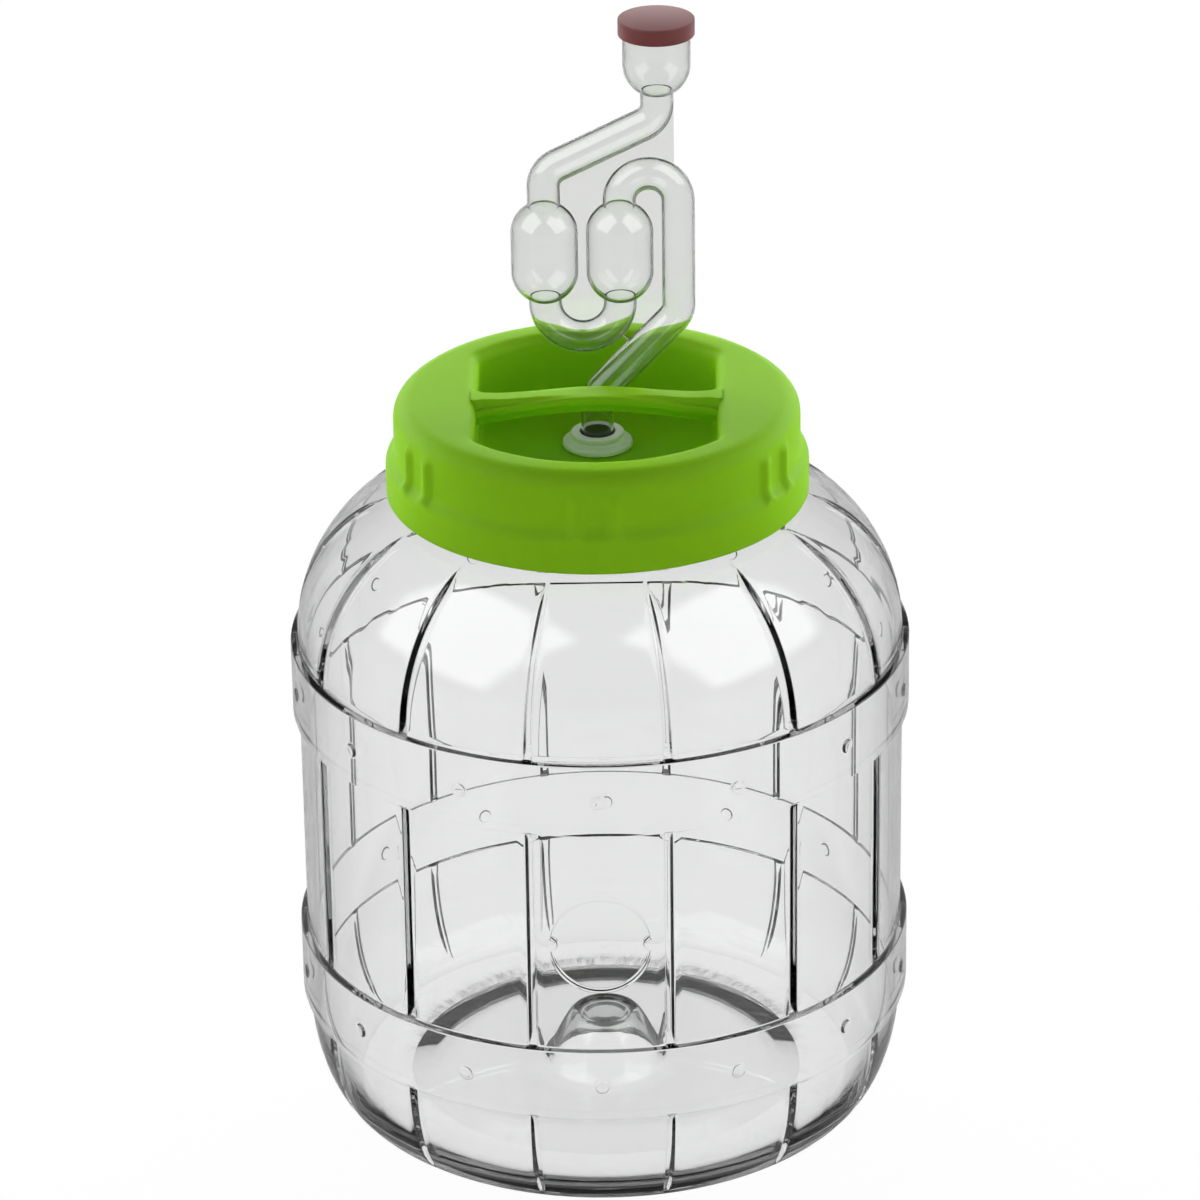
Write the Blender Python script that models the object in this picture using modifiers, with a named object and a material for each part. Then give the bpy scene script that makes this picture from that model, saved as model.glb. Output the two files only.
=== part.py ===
"""Barrel-shaped fermentation jar with a screw lid, a carrying handle, a grommet and a bent-tube airlock.

Metres, +Z up. The origin is the middle of the foot ring, on the surface that the jar stands on.
The front of the jar faces -Y.
"""
import math

import bmesh
import bpy
from mathutils import Matrix

# Clearances between pieces that touch or fit together.
REST_GAP = 0.0003          # between faces that rest on each other
SLIDE_GAP = 0.0003         # round the stem in its grommet, and round the cup in its cap

# Jar: blow-moulded barrel with staves, grooves, two raised hoops and a neck.
BARREL_RADIUS = 0.0918     # crown of the staves
JAR_WALL = 0.0012
STAVES = 14
GROOVE_WIDTH = 0.0054
GROOVE_DEPTH = 0.0022
HOOP_STEP = 0.0020         # height of a hoop above the staves
HOOP_HEIGHT = 0.0235
HOOP_EDGE = 0.0004         # slope of a hoop's two edges
LOWER_HOOP_Z = 0.0473
UPPER_HOOP_Z = 0.1421
SHOULDER_REACH = 0.0427    # half axes of the shoulder's ellipse
SHOULDER_RISE = 0.0462
SHOULDER_GROOVE_END = 0.0642   # radius where a shoulder groove runs out
SHOULDER_GROOVE_RUN = 0.0100   # length over which it runs out
HEEL_INSET = 0.0150
HEEL_GROOVE_END = 0.0012   # height where a heel groove runs out
HEEL_GROOVE_RUN = 0.0090
FOOT_WIDTH = 0.0160        # flat ring that the jar stands on
BASE_RECESS = 0.0025
BASE_SLOPE = 0.0028
DOME_RADIUS = 0.0200       # push-up in the middle of the base
DOME_HEIGHT = 0.0165
DIMPLE_RADIUS = 0.0074     # round dimple on top of the push-up
DIMPLE_DEPTH = 0.0016
NECK_RADIUS = 0.0552
NECK_HEIGHT = 0.0265
NECK_ROOT = 0.0014         # fillet between the neck and the shoulder
RIVET_RADIUS = 0.0021      # one on each hoop at the middle of each stave
RIVET_HEIGHT = 0.0008
MEDALLION_RADIUS = 0.0150  # bare round disc on the front stave
MEDALLION_HEIGHT = 0.0006
MEDALLION_Z = 0.0977

# Lid: moulded screw lid with a sunk middle and a handle across it.
LID_WALL = 0.0022
THREAD_ROOM = 0.0034       # between the neck and the inside of the skirt
SKIRT_BAND_STEP = 0.0026   # the lower band stands this far out from the skirt
SKIRT_BAND_HEIGHT = 0.0132
SKIRT_DROP = 0.0008        # room between the skirt's lower edge and the shoulder
LID_EDGE_ROUND = 0.0060
SUMP_ROOM = 0.0049         # between the sunk middle and the neck's bore
SUMP_WALL = 0.0018
SUMP_DEPTH = 0.0220
SUMP_HALF_WIDTH = 0.0359   # the sump's two straight walls
SUMP_CORNER = 0.0050
SUMP_LIP = 0.0025          # rounding of the sump's upper edge
GRIP_STATIONS = 6
GRIP_RIB_SPACING = 0.0110  # between the two ribs of a station
GRIP_RIB_RADIUS = 0.0022
GRIP_RIB_HEIGHT = 0.0009   # how far a rib stands out of the skirt

HANDLE_WIDTH = 0.0095
HANDLE_THICKNESS = 0.0027
HANDLE_ARCH = 0.0029       # how much higher the handle's middle is than its ends
HANDLE_RIB_WIDTH = 0.0050
HANDLE_RIB_DROP = 0.0028   # rib under the handle
HANDLE_CREST_WIDTH = 0.0058
HANDLE_SINK = 0.0001       # the handle's top lies this far under the lid's top

# Sealing ring between the lid and the neck's rim.
GASKET_THICKNESS = 0.0015
GASKET_WIDTH = 0.0040      # inwards from the neck's outside

# Grommet: soft bush in a hole in the sump's floor.
GROMMET_FLANGE = 0.0107
GROMMET_FLANGE_THICKNESS = 0.0017
GROMMET_CROWN = 0.0080
GROMMET_CROWN_HEIGHT = 0.0046
GROMMET_WAIST_WALL = 0.0012
GROMMET_FOOT = 0.0088
GROMMET_FOOT_HEIGHT = 0.0026

# Airlock: one piece of tube with two bulbs, a cup and a thin web.
TUBE_RADIUS = 0.0049
TUBE_WALL = 0.0010
HANDLE_TO_TUBE = 0.0028    # clear space between the handle and the stem
STEM_BELOW_FLOOR = 0.0120
STEM_BEND_HEIGHT = 0.0164  # first bend above the sump's floor
STEM_REACH = 0.0248        # sideways, to the rising tube
STEM_SLANT = math.radians(43.0)    # slanted run, from the vertical
BEND_RADIUS = 0.0075
ARCH_RADIUS = 0.0087
TRAP_RADIUS = 0.0112
BULB_RADIUS = 0.0100
BULB_HEIGHT = 0.0320
BULB_LIFT = 0.0037         # lower end of the bulbs above the second bend
OUTLET_RISE = 0.0094       # straight tube above the left bulb
OUTLET_REACH = 0.0338
OUTLET_SLANT = math.radians(26.2)  # slanted run, from the horizontal
OUTLET_NECK = 0.0070       # straight tube under the cup
CUP_RADIUS = 0.0100
CUP_HEIGHT = 0.0226        # bottom of the cup to its rim
WEB_THICKNESS = 0.0012

# Cap on the airlock's cup.
CAP_WALL = 0.0010
CAP_TOP = 0.0012
CAP_DEPTH = 0.0050

# Facets.
COLUMNS_PER_STAVE = 5
LID_SEGMENTS = 54
SMALL_SEGMENTS = 20
RIVET_SEGMENTS = 6
GRIP_RIB_SEGMENTS = 10
MEDALLION_SEGMENTS = 24
BULB_SEGMENTS = 14
BEND_STEP = math.radians(22.5)
CURVE_RESOLUTION = 3
SMOOTH_ANGLE = math.radians(35.0)

# Heights that follow from the sizes above.
upper_hoop_top = UPPER_HOOP_Z + HOOP_HEIGHT / 2
lower_hoop_foot = LOWER_HOOP_Z - HOOP_HEIGHT / 2
shoulder_top = upper_hoop_top + SHOULDER_RISE
rim_z = shoulder_top + NECK_HEIGHT
gasket_z = rim_z + REST_GAP
lid_top_z = gasket_z + GASKET_THICKNESS + REST_GAP + LID_WALL
floor_z = lid_top_z - SUMP_DEPTH
skirt_inner = NECK_RADIUS + THREAD_ROOM
skirt_outer = skirt_inner + LID_WALL
sump_radius = NECK_RADIUS - JAR_WALL - SUMP_ROOM - SUMP_WALL
stem_y = HANDLE_WIDTH / 2 + HANDLE_TO_TUBE + TUBE_RADIUS
grommet_bore = TUBE_RADIUS + SLIDE_GAP
grommet_waist = grommet_bore + GROMMET_WAIST_WALL
grommet_hole = grommet_waist + REST_GAP
stem_axis = (0.0, stem_y, 0.0)     # what the grommet and the airlock turn about

# Centre line of the airlock, as points (x, z) in its own plane.
second_bend_z = floor_z + STEM_BEND_HEIGHT + STEM_REACH / math.tan(STEM_SLANT)
bulb_low_z = second_bend_z + BULB_LIFT
bulb_high_z = bulb_low_z + BULB_HEIGHT
right_bulb_x = STEM_REACH - 2 * ARCH_RADIUS
left_bulb_x = right_bulb_x - 2 * TRAP_RADIUS
outlet_bend_z = bulb_high_z + OUTLET_RISE
cup_x = left_bulb_x + OUTLET_REACH
cup_bend_z = outlet_bend_z + OUTLET_REACH * math.tan(OUTLET_SLANT)
cup_bottom_z = cup_bend_z + OUTLET_NECK
cup_rim_z = cup_bottom_z + CUP_HEIGHT


def new_collection(name):
    collection = bpy.data.collections.new(name)
    bpy.context.scene.collection.children.link(collection)
    return collection


def clear_scene():
    for old in list(bpy.data.objects):
        bpy.data.objects.remove(old, do_unlink=True)


clear_scene()
jar_parts = new_collection("fermentation_jar")
cutters = new_collection("cutters")


def plastic(name, colour, roughness, clear=0.0):
    """A Principled material for one sub-part; clear is its transmission."""
    material = bpy.data.materials.new(name)
    material.use_nodes = True
    shader = material.node_tree.nodes["Principled BSDF"]
    shader.inputs["Base Color"].default_value = (*colour, 1.0)
    shader.inputs["Roughness"].default_value = roughness
    shader.inputs["Metallic"].default_value = 0.0
    shader.inputs["Transmission Weight"].default_value = clear
    return material


def add_object(name, data, collection, place=(0.0, 0.0, 0.0)):
    piece = bpy.data.objects.new(name, data)
    piece.location = place
    collection.objects.link(piece)
    return piece


def add_cutter(name, data, place=(0.0, 0.0, 0.0)):
    """A shape that only cuts or joins other shapes."""
    cutter = add_object(name, data, cutters, place)
    cutter.hide_render = True
    cutter.display_type = "WIRE"
    return cutter


def evaluated_mesh(piece):
    """The mesh of an object with its modifiers or its bevel worked in."""
    bpy.context.view_layer.update()
    view = bpy.context.evaluated_depsgraph_get()
    return bpy.data.meshes.new_from_object(piece.evaluated_get(view))


def profile_mesh(name, points, closed=False):
    """Edges through points (radius, height) in the XZ plane."""
    mesh = bpy.data.meshes.new(name)
    count = len(points)
    edges = [(i, i + 1) for i in range(count - 1)]
    if closed:
        edges.append((count - 1, 0))
    mesh.from_pydata([(r, 0.0, z) for r, z in points], edges, [])
    return mesh


def add_screw(piece, steps):
    screw = piece.modifiers.new("turn", "SCREW")
    screw.axis = "Z"
    screw.angle = 2 * math.pi
    screw.steps = steps
    screw.render_steps = steps
    screw.use_merge_vertices = True
    screw.merge_threshold = 1e-5
    screw.use_smooth_shade = True
    return screw


def turned(name, points, steps, centre=(0.0, 0.0), closed=False):
    """A mesh turned round the vertical axis through centre, from a profile that runs down its outer side."""
    guide = add_cutter(name + "_profile", profile_mesh(name, points, closed))
    add_screw(guide, steps)
    mesh = evaluated_mesh(guide)
    bpy.data.objects.remove(guide, do_unlink=True)
    mesh.transform(Matrix.Translation((centre[0], centre[1], 0.0)))
    return mesh


def tube_mesh(name, path, radius):
    """A solid round bar along points (x, z)."""
    curve = bpy.data.curves.new(name, "CURVE")
    curve.dimensions = "3D"
    curve.bevel_depth = radius
    curve.bevel_resolution = CURVE_RESOLUTION
    curve.use_fill_caps = True
    spline = curve.splines.new("POLY")
    spline.points.add(len(path) - 1)
    for point, (x, z) in zip(spline.points, path):
        point.co = (x, 0.0, z, 1.0)
    bar = add_cutter(name + "_bar", curve)
    mesh = evaluated_mesh(bar)
    bpy.data.objects.remove(bar, do_unlink=True)
    weld(mesh)
    return mesh


def weld(mesh):
    work = bmesh.new()
    work.from_mesh(mesh)
    bmesh.ops.remove_doubles(work, verts=work.verts, dist=1e-6)
    bmesh.ops.recalc_face_normals(work, faces=work.faces)
    work.to_mesh(mesh)
    work.free()


def plate_mesh(name, outline, thickness):
    """A flat plate in the XY plane, centred on z = 0, from a closed outline of points (x, y)."""
    curve = bpy.data.curves.new(name, "CURVE")
    curve.dimensions = "2D"
    curve.fill_mode = "BOTH"
    curve.extrude = thickness / 2
    spline = curve.splines.new("POLY")
    spline.points.add(len(outline) - 1)
    for point, (x, y) in zip(spline.points, outline):
        point.co = (x, y, 0.0, 1.0)
    spline.use_cyclic_u = True
    plate = add_cutter(name + "_outline", curve)
    mesh = evaluated_mesh(plate)
    bpy.data.objects.remove(plate, do_unlink=True)
    weld(mesh)
    return mesh


def upright(mesh):
    """Stands a plate up, so that its outline's (x, y) become (x, z)."""
    mesh.transform(Matrix.Rotation(math.radians(90), 4, "X"))
    return mesh


def boolean(piece, tool, operation):
    modifier = piece.modifiers.new(tool.name, "BOOLEAN")
    modifier.operation = operation
    modifier.solver = "EXACT"
    modifier.object = tool


def shade(piece):
    piece.data.shade_smooth()
    piece.data.set_sharp_from_angle(angle=SMOOTH_ANGLE)


def arc(centre, radius, start, end, step=BEND_STEP):
    """Points of a round arc, angles in radians from +X, both ends kept."""
    count = max(1, math.ceil(abs(end - start) / step - 1e-9))
    angles = [start + (end - start) * i / count for i in range(count + 1)]
    return [(centre[0] + radius * math.cos(a), centre[1] + radius * math.sin(a)) for a in angles]


def rounded_corner(before, corner, after, radius):
    """Points of the fillet that joins two straight runs at a corner."""
    in_angle = math.atan2(corner[1] - before[1], corner[0] - before[0])
    out_angle = math.atan2(after[1] - corner[1], after[0] - corner[0])
    turn = (out_angle - in_angle + math.pi) % (2 * math.pi) - math.pi
    side = math.copysign(1.0, turn)
    setback = radius * math.tan(abs(turn) / 2)
    start = (corner[0] - setback * math.cos(in_angle), corner[1] - setback * math.sin(in_angle))
    centre = (start[0] - side * radius * math.sin(in_angle), start[1] + side * radius * math.cos(in_angle))
    first = in_angle - side * math.pi / 2
    return arc(centre, radius, first, first + turn)


def smooth_share(value):
    """0 below 0, 1 above 1, and a soft rise between."""
    share = min(1.0, max(0.0, value))
    return share * share * (3 - 2 * share)


def jar_profile():
    """Outer wall at a stave's crown, from the rim down to the middle of the base."""
    hoop_radius = BARREL_RADIUS + HOOP_STEP
    shoulder_centre = BARREL_RADIUS - SHOULDER_REACH
    root_angle = math.acos((NECK_RADIUS + NECK_ROOT - shoulder_centre) / SHOULDER_REACH)
    root_z = upper_hoop_top + SHOULDER_RISE * math.sin(root_angle)
    points = [(NECK_RADIUS, rim_z), (NECK_RADIUS, root_z + NECK_ROOT)]
    shoulder_rows = 5
    for i in range(shoulder_rows, -1, -1):
        angle = root_angle * i / shoulder_rows
        points.append((shoulder_centre + SHOULDER_REACH * math.cos(angle),
                       upper_hoop_top + SHOULDER_RISE * math.sin(angle)))
    for hoop_z in (UPPER_HOOP_Z, LOWER_HOOP_Z):
        top = hoop_z + HOOP_HEIGHT / 2
        foot = hoop_z - HOOP_HEIGHT / 2
        if hoop_z == LOWER_HOOP_Z:
            points.append((BARREL_RADIUS, top))
        points.append((hoop_radius, top - HOOP_EDGE))
        points.append((hoop_radius, foot + HOOP_EDGE))
        points.append((BARREL_RADIUS, foot))
    heel_centre = BARREL_RADIUS - HEEL_INSET
    heel_rows = 4
    for i in range(1, heel_rows + 1):
        angle = math.pi / 2 * i / heel_rows
        points.append((heel_centre + HEEL_INSET * math.cos(angle), lower_hoop_foot * (1 - math.sin(angle))))
    foot_inner = heel_centre - FOOT_WIDTH
    points.append((foot_inner, 0.0))
    points.append((foot_inner - BASE_SLOPE, BASE_RECESS))
    dome_rise = DOME_HEIGHT - BASE_RECESS
    for share in (0.0, 0.5, 1.0):
        radius = DOME_RADIUS + (DIMPLE_RADIUS - DOME_RADIUS) * share
        points.append((radius, BASE_RECESS + dome_rise * smooth_share(share)))
    points.append((DIMPLE_RADIUS - DIMPLE_DEPTH, DOME_HEIGHT - DIMPLE_DEPTH))
    points.append((0.0, DOME_HEIGHT - DIMPLE_DEPTH))
    return points


def groove_share(radius, height):
    """How much of the groove depth there is at a point of the wall."""
    on_hoop = radius > BARREL_RADIUS + HOOP_STEP / 2
    if on_hoop:
        return 0.0
    if height > upper_hoop_top:
        return smooth_share((radius - SHOULDER_GROOVE_END) / SHOULDER_GROOVE_RUN)
    if height < lower_hoop_foot:
        in_heel = radius > BARREL_RADIUS - HEEL_INSET
        return smooth_share((height - HEEL_GROOVE_END) / HEEL_GROOVE_RUN) if in_heel else 0.0
    return 1.0


def press_staves(mesh):
    """Sets the columns of the turned wall to the grooves' floors and lips and the staves' crowns, and sinks the floors."""
    pitch = 2 * math.pi / STAVES
    lip_angle = GROOVE_WIDTH / 2 / BARREL_RADIUS
    crown_angle = lip_angle + (pitch - 2 * lip_angle) / 3
    offsets = (0.0, lip_angle, crown_angle, pitch - crown_angle, pitch - lip_angle)
    first_groove = -math.pi / 2 + pitch / 2
    step = pitch / COLUMNS_PER_STAVE
    for vertex in mesh.vertices:
        x, y, z = vertex.co
        radius = math.hypot(x, y)
        if radius < 1e-6:
            continue
        column = round((math.atan2(y, x) % (2 * math.pi)) / step) % (STAVES * COLUMNS_PER_STAVE)
        stave, place = divmod(column, COLUMNS_PER_STAVE)
        angle = first_groove + stave * pitch + offsets[place]
        if place == 0:
            radius -= GROOVE_DEPTH * groove_share(radius, z)
        vertex.co = (radius * math.cos(angle), radius * math.sin(angle), z)


def rivet_mesh():
    """Low round bumps that point outwards, one for each stave on each hoop."""
    hoop_radius = BARREL_RADIUS + HOOP_STEP
    buried = JAR_WALL / 2
    depth = buried + RIVET_HEIGHT
    work = bmesh.new()
    for hoop_z in (LOWER_HOOP_Z, UPPER_HOOP_Z):
        for stave in range(STAVES):
            angle = -math.pi / 2 + stave * 2 * math.pi / STAVES
            place = Matrix.Rotation(angle, 4, "Z") @ Matrix.Translation(
                (hoop_radius * hoop_flat() + RIVET_HEIGHT - depth / 2, 0.0, hoop_z))
            outwards = place @ Matrix.Rotation(math.pi / 2, 4, "Y")
            bmesh.ops.create_cone(work, cap_ends=True, segments=RIVET_SEGMENTS, radius1=RIVET_RADIUS,
                                  radius2=RIVET_RADIUS * 0.6, depth=depth, matrix=outwards)
    mesh = bpy.data.meshes.new("rivets")
    work.to_mesh(mesh)
    work.free()
    return mesh


def hoop_flat():
    """How far out the flat between a stave's two crown columns lies, as a share of their radius."""
    lip_angle = GROOVE_WIDTH / 2 / BARREL_RADIUS
    pitch = 2 * math.pi / STAVES
    return math.cos((pitch - 2 * lip_angle) / 6)


def make_medallion():
    """A bare round disc that follows the front stave, cut out of a turned band."""
    outer = BARREL_RADIUS + MEDALLION_HEIGHT
    inner = BARREL_RADIUS - JAR_WALL / 2
    high = MEDALLION_Z + 2 * MEDALLION_RADIUS
    low = MEDALLION_Z - 2 * MEDALLION_RADIUS
    band = turned("medallion_band", [(inner, high), (outer, high), (outer, low), (inner, low)],
                  STAVES * COLUMNS_PER_STAVE, closed=True)
    medallion = add_cutter("medallion", band)
    work = bmesh.new()
    place = Matrix.Translation((0.0, -BARREL_RADIUS, MEDALLION_Z)) @ Matrix.Rotation(math.pi / 2, 4, "X")
    bmesh.ops.create_cone(work, cap_ends=True, segments=MEDALLION_SEGMENTS, radius1=MEDALLION_RADIUS,
                          radius2=MEDALLION_RADIUS, depth=MEDALLION_RADIUS, matrix=place)
    punch = bpy.data.meshes.new("medallion_punch")
    work.to_mesh(punch)
    work.free()
    boolean(medallion, add_cutter("medallion_punch", punch), "INTERSECT")
    return medallion


def make_jar_body():
    mesh = turned("jar_body", jar_profile(), STAVES * COLUMNS_PER_STAVE)
    press_staves(mesh)
    jar = add_object("jar_body", mesh, jar_parts)
    wall = jar.modifiers.new("wall", "SOLIDIFY")
    wall.thickness = JAR_WALL
    wall.offset = -1.0
    wall.use_even_offset = True
    boolean(jar, add_cutter("rivets", rivet_mesh()), "UNION")
    boolean(jar, make_medallion(), "UNION")
    shade(jar)
    jar.data.materials.append(plastic("clear_pet", (0.93, 0.94, 0.94), 0.05, clear=0.9))
    return jar


def lid_profile():
    """Closed section of the lid without its sump, from the middle of its top to the middle of its underside."""
    skirt_foot = shoulder_top + SKIRT_DROP
    band_top = skirt_foot + SKIRT_BAND_HEIGHT
    band_outer = skirt_outer + SKIRT_BAND_STEP
    band_inner = band_outer - LID_WALL
    edge = LID_EDGE_ROUND
    chamfer = LID_WALL / 3
    points = [(0.0, lid_top_z)]
    points += arc((skirt_outer - edge, lid_top_z - edge), edge, math.pi / 2, 0.0)
    points += [(skirt_outer, band_top + SKIRT_BAND_STEP), (band_outer, band_top),
               (band_outer, skirt_foot + chamfer), (band_outer - chamfer, skirt_foot),
               (band_inner, skirt_foot), (band_inner, band_top - LID_WALL),
               (skirt_inner, band_top + SKIRT_BAND_STEP - LID_WALL)]
    inner_edge = edge - LID_WALL
    points += arc((skirt_inner - inner_edge, lid_top_z - edge), inner_edge, 0.0, math.pi / 2, math.radians(30))
    points.append((0.0, lid_top_z - LID_WALL))
    return points


def sump_outline(grow):
    """The sump in plan: a circle with two straight sides, with rounded corners, grown outwards by grow."""
    radius = sump_radius + grow
    half_width = SUMP_HALF_WIDTH + grow
    corner = SUMP_CORNER + grow
    centre_x = half_width - corner
    centre_y = math.sqrt((radius - corner) ** 2 - centre_x ** 2)
    swing = math.atan2(centre_y, centre_x)
    right = arc((centre_x, centre_y), corner, 0.0, swing)
    back = arc((0.0, 0.0), radius, swing, math.pi - swing, math.radians(12))
    left = [(-x, y) for x, y in reversed(right)]
    upper = right + back[1:-1] + left
    lower = [(-x, -y) for x, y in upper]
    return upper + lower


def stacked(name, levels):
    """A closed solid through level outlines, each (height, growth), lowest first."""
    work = bmesh.new()
    loops = []
    for height, grow in levels:
        ring = [work.verts.new((x, y, height)) for x, y in sump_outline(grow)]
        loops.append([work.edges.new((ring[i - 1], ring[i])) for i in range(len(ring))])
        if height in (levels[0][0], levels[-1][0]):
            work.faces.new(ring)
    for low, high in zip(loops, loops[1:]):
        bmesh.ops.bridge_loops(work, edges=low + high)
    bmesh.ops.recalc_face_normals(work, faces=work.faces)
    mesh = bpy.data.meshes.new(name)
    work.to_mesh(mesh)
    work.free()
    return mesh


def arched_bar(name, half_length, top_drop, thickness, width):
    """A bar across the sump whose top and underside rise to the middle."""
    top_z = lid_top_z - HANDLE_SINK - top_drop
    radius = (SUMP_HALF_WIDTH ** 2 + HANDLE_ARCH ** 2) / (2 * HANDLE_ARCH)
    rows = 8
    xs = [half_length * (2 * i / rows - 1) for i in range(rows + 1)]
    top = [(x, top_z - radius + math.sqrt(radius ** 2 - x ** 2)) for x in xs]
    under = [(x, z - thickness) for x, z in reversed(top)]
    return upright(plate_mesh(name, top + under, width))


def make_lid():
    lid = add_object("lid", turned("lid", lid_profile(), LID_SEGMENTS), jar_parts)
    above = lid_top_z + 2 * SUMP_LIP
    under_plate = lid_top_z - LID_WALL / 2
    sump = add_cutter("sump_shell", stacked("sump_shell", [(floor_z - SUMP_WALL, SUMP_WALL), (under_plate, SUMP_WALL)]))
    boolean(lid, sump, "UNION")
    lip = [(lid_top_z - SUMP_LIP * (1 - math.sin(a)), SUMP_LIP * (1 - math.cos(a)))
           for a in [math.radians(d) for d in (0, 30, 60, 90)]]
    pocket = add_cutter("sump_pocket", stacked("sump_pocket", [(floor_z, 0.0)] + lip + [(above, SUMP_LIP)]))
    boolean(lid, pocket, "DIFFERENCE")
    into_wall = SUMP_HALF_WIDTH + SUMP_WALL / 2
    crest_height = LID_WALL - HANDLE_SINK
    crest_length = 2 * (SUMP_HALF_WIDTH + SUMP_LIP + SUMP_WALL / 2)
    handle = add_cutter("handle_bar", arched_bar("handle_bar", into_wall, 0.0, HANDLE_THICKNESS, HANDLE_WIDTH))
    rib = add_cutter("handle_rib", arched_bar("handle_rib", into_wall, HANDLE_THICKNESS / 2,
                                              HANDLE_THICKNESS / 2 + HANDLE_RIB_DROP, HANDLE_RIB_WIDTH))
    boolean(handle, rib, "UNION")
    bpy.ops.mesh.primitive_cube_add(size=1.0)
    crest = bpy.context.active_object
    crest_mesh = crest.data
    bpy.data.objects.remove(crest, do_unlink=True)
    crest_mesh.transform(Matrix.Diagonal((crest_length, HANDLE_CREST_WIDTH, crest_height, 1.0)))
    crest_mesh.transform(Matrix.Translation((0.0, 0.0, lid_top_z - 2 * HANDLE_SINK - crest_height / 2)))
    boolean(handle, add_cutter("handle_crest", crest_mesh), "UNION")
    boolean(lid, handle, "UNION")
    hole_top = floor_z + SUMP_WALL
    hole_low = floor_z - 2 * SUMP_WALL
    hole = [(0.0, hole_top), (grommet_hole, hole_top), (grommet_hole, hole_low), (0.0, hole_low)]
    boolean(lid, add_cutter("grommet_hole", turned("grommet_hole", hole, SMALL_SEGMENTS), stem_axis), "DIFFERENCE")
    boolean(lid, add_cutter("grip_ribs", grip_rib_mesh()), "UNION")
    shade(lid)
    lid.data.materials.append(plastic("green_pp", (0.23, 0.52, 0.014), 0.38))
    return lid


def grip_rib_mesh():
    """Pairs of upright ribs round the skirt, which run out under the rounded edge and stand on the lower band."""
    band_top = shoulder_top + SKIRT_DROP + SKIRT_BAND_HEIGHT
    low = band_top - SKIRT_BAND_STEP / 2
    high = lid_top_z - LID_EDGE_ROUND
    across = skirt_outer + GRIP_RIB_HEIGHT - GRIP_RIB_RADIUS
    runout = 2 * GRIP_RIB_HEIGHT
    profile = [(0.0, high), (GRIP_RIB_RADIUS - GRIP_RIB_HEIGHT, high), (GRIP_RIB_RADIUS, high - runout),
               (GRIP_RIB_RADIUS, low), (0.0, low)]
    work = bmesh.new()
    for station in range(GRIP_STATIONS):
        for side in (-0.5, 0.5):
            angle = -math.pi / 2 + station * 2 * math.pi / GRIP_STATIONS + side * GRIP_RIB_SPACING / skirt_outer
            rib = turned("rib", profile, GRIP_RIB_SEGMENTS, (across * math.cos(angle), across * math.sin(angle)))
            work.from_mesh(rib)
            bpy.data.meshes.remove(rib)
    mesh = bpy.data.meshes.new("grip_ribs")
    work.to_mesh(mesh)
    work.free()
    return mesh


def make_gasket():
    outer = NECK_RADIUS
    inner = outer - GASKET_WIDTH
    top = gasket_z + GASKET_THICKNESS
    profile = [(inner, top), (outer, top), (outer, gasket_z), (inner, gasket_z)]
    gasket = add_object("lid_gasket", turned("lid_gasket", profile, LID_SEGMENTS, closed=True), jar_parts)
    shade(gasket)
    gasket.data.materials.append(plastic("white_seal", (0.86, 0.86, 0.84), 0.55))
    return gasket


def make_grommet():
    seat = floor_z + REST_GAP
    under = floor_z - SUMP_WALL - REST_GAP
    crown = floor_z + GROMMET_CROWN_HEIGHT
    flange_top = seat + GROMMET_FLANGE_THICKNESS
    neck = (GROMMET_CROWN + grommet_waist) / 2
    low = under - GROMMET_FOOT_HEIGHT
    edge = GROMMET_FLANGE_THICKNESS / 3
    profile = [(grommet_bore, crown), (GROMMET_CROWN, crown), (GROMMET_CROWN, crown - edge),
               (neck + edge, (crown + flange_top) / 2), (GROMMET_FLANGE - 2 * edge, flange_top),
               (GROMMET_FLANGE, flange_top - edge), (GROMMET_FLANGE, seat), (grommet_waist, seat),
               (grommet_waist, under), (GROMMET_FOOT, under), (GROMMET_FOOT, under - edge),
               (neck, low), (grommet_bore, low)]
    mesh = turned("grommet", profile, SMALL_SEGMENTS, closed=True)
    grommet = add_object("grommet", mesh, jar_parts, stem_axis)
    shade(grommet)
    grommet.data.materials.append(plastic("white_silicone", (0.80, 0.82, 0.79), 0.35, clear=0.2))
    return grommet


def airlock_path(below, above):
    """Centre line (x, z) from the stem's lower end to the cup, run on by below and above at its ends."""
    start = (0.0, floor_z - STEM_BELOW_FLOOR - below)
    first = (0.0, floor_z + STEM_BEND_HEIGHT)
    second = (STEM_REACH, second_bend_z)
    arch_foot = (STEM_REACH, bulb_high_z)
    outlet = (left_bulb_x, outlet_bend_z)
    cup_bend = (cup_x, cup_bend_z)
    cup = (cup_x, cup_bottom_z + above)
    path = [start]
    path += rounded_corner(start, first, second, BEND_RADIUS)
    path += rounded_corner(first, second, arch_foot, BEND_RADIUS)
    path += arc((STEM_REACH - ARCH_RADIUS, bulb_high_z), ARCH_RADIUS, 0.0, math.pi)
    path += arc((right_bulb_x - TRAP_RADIUS, bulb_low_z), TRAP_RADIUS, 0.0, -math.pi)
    path += rounded_corner((left_bulb_x, bulb_low_z), outlet, cup_bend, BEND_RADIUS)
    path += rounded_corner(outlet, cup_bend, cup, BEND_RADIUS)
    path.append(cup)
    return path


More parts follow.
